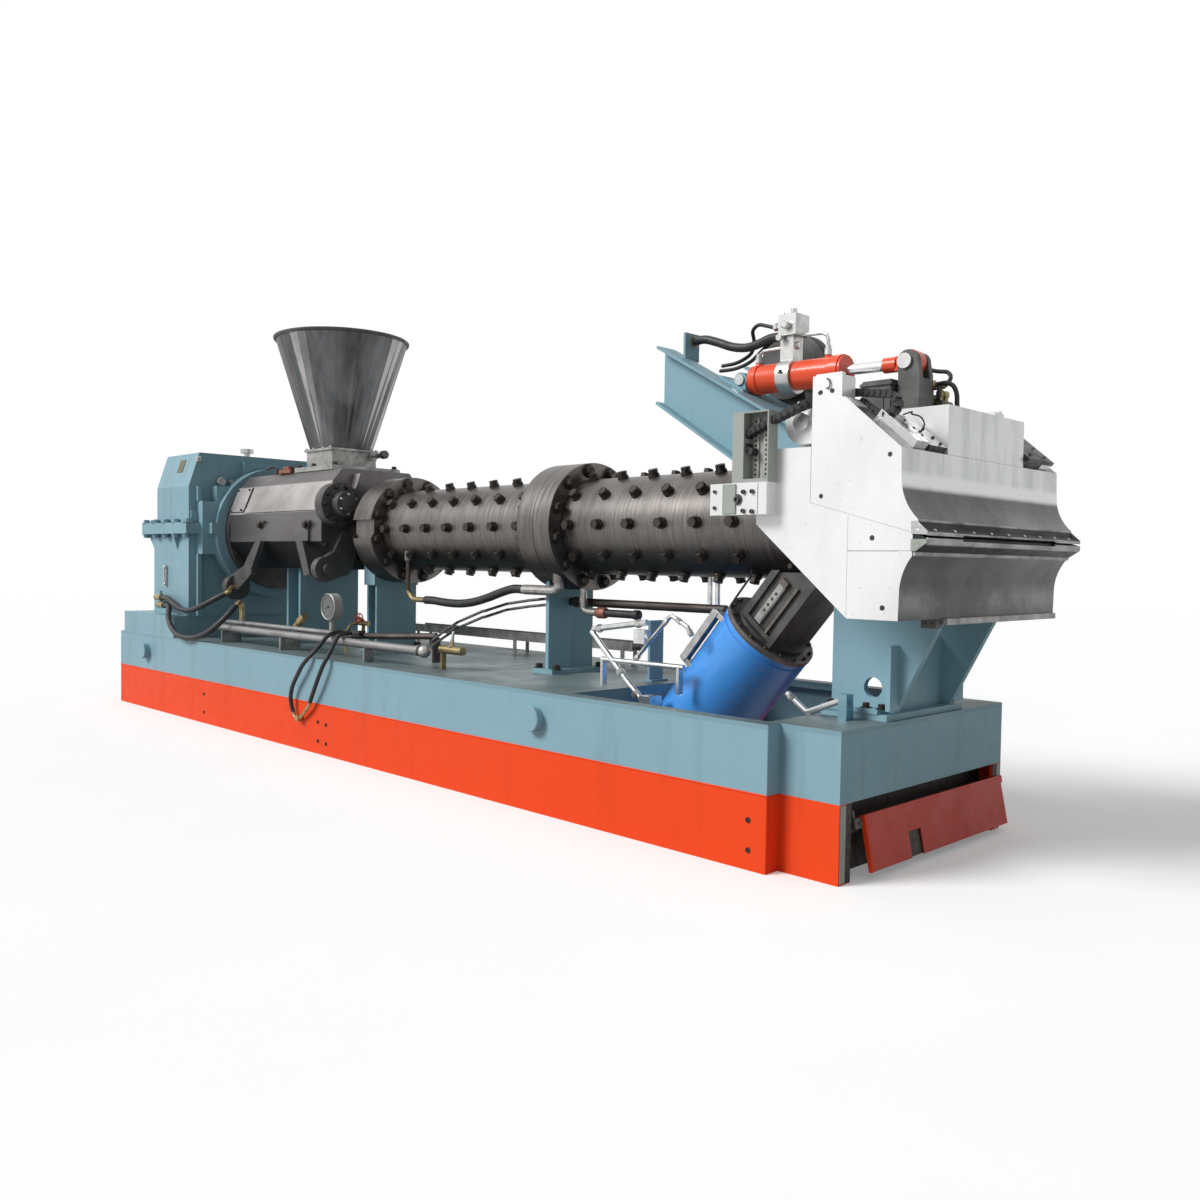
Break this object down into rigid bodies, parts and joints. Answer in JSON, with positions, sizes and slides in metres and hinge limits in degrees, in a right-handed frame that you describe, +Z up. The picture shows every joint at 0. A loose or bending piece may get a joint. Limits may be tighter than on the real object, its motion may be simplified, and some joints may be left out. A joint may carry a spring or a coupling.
{
  "type": "cold-feed rubber extruder with slab die head",
  "caption": "Long pin-barrel cold-feed extruder on a box base, with gearbox, feed hopper and a wide slab die head whose upper jaw opens.",
  "frame": {"origin": "on the floor under the screw axis, halfway along the base", "axes": "+X along the screw towards the die head, +Y to the far side from the operator, +Z up"},
  "size_m": [7.186, 1.6277, 2.785],
  "materials": {
    "teal_paint": "satin",
    "deck_paint": "satin",
    "orange_paint": "satin",
    "cover_paint": "satin",
    "dark_steel": "satin",
    "machined_steel": "brushed",
    "feed_steel": "brushed",
    "cast_silver": "cast",
    "stainless": "brushed",
    "barrel_steel": "brushed",
    "pin_steel": "black",
    "head_steel": "ground",
    "die_steel": "ground",
    "grey_sheet": "satin",
    "ram_orange": "gloss",
    "chrome": "polished",
    "blue_paint": "gloss",
    "brass": "satin",
    "black_rubber": "matt"
  },
  "bodies": {
    "machine": {"side_beams": "teal_paint", "side_skirts": "orange_paint", "cross_members": "deck_paint", "deck_plate": "deck_paint", "nose_frame": "teal_paint", "cover_rail": "dark_steel", "front_cover": "cover_paint", "gearbox_plinth": "teal_paint", "gearbox_lower": "teal_paint", "gearbox_upper": "teal_paint", "breather": "machined_steel", "input_shaft": "machined_steel", "bell_housing": "teal_paint", "seal_ring": "machined_steel", "feed_housing": "feed_steel", "feed_stand": "teal_paint", "roll_cover": "dark_steel", "feed_door": "dark_steel", "hopper_plate": "cast_silver", "hopper_neck": "cast_silver", "hopper": "stainless", "barrel_rear": "barrel_steel", "barrel_front": "barrel_steel", "barrel_pins": "pin_steel", "barrel_flanges": "barrel_steel", "barrel_stands": "teal_paint", "head_body": "head_steel", "lower_jaw": "head_steel", "lower_die_bar": "die_steel", "head_stand": "teal_paint", "side_brackets": "head_steel", "cable_box": "grey_sheet", "cylinder_beams": "teal_paint", "beam_bridge": "teal_paint", "accumulator": "dark_steel", "pivot_pins": "machined_steel", "clamp_cylinder": "blue_paint", "clamp_neck": "dark_steel", "clamp_seat": "deck_paint", "cooling_pipes": "dark_steel", "pressure_gauge": "grey_sheet", "steel_tubes": "chrome", "hose_fittings": "brass", "hanging_ends": "brass", "gearbox_hose_upper": "black_rubber", "gearbox_hose_lower": "black_rubber", "barrel_hose": "black_rubber", "hanging_hose_left": "black_rubber", "hanging_hose_right": "black_rubber", "cylinder_hose": "black_rubber"},
    "upper_jaw": {"upper_jaw": "head_steel", "upper_die_bar": "die_steel", "top_block": "head_steel", "guide_bars": "machined_steel", "ram_lugs": "dark_steel", "ram_front_pin": "machined_steel"},
    "opening_cylinder": {"ram_tube": "ram_orange", "valve_block": "machined_steel"},
    "piston_rod": {"ram_rod": "chrome", "ram_eye": "ram_orange"}
  },
  "joints": [
    {"name": "jaw_hinge", "type": "hinge", "parent": "machine", "child": "upper_jaw", "pos_m": [3.19, 0, 1.76], "axis": [0, -1, 0], "range_deg": [0, 33]},
    {"name": "cylinder_swing", "type": "hinge", "parent": "machine", "child": "opening_cylinder", "pos_m": [2.631, -0.25, 2.028], "axis": [0, -1, 0], "range_deg": [0, 8.9], "deforming": ["cylinder_hose"]},
    {"name": "rod_slide", "type": "slide", "parent": "opening_cylinder", "child": "piston_rod", "axis": [-0.9998, 0, 0.0209], "range_m": [0, 0.17]}
  ],
  "couplings": [
    {"joint": "cylinder_swing", "follows": "jaw_hinge", "ratio": 0.2664},
    {"joint": "rod_slide", "follows": "jaw_hinge", "m_per_rad": 0.2932}
  ]
}
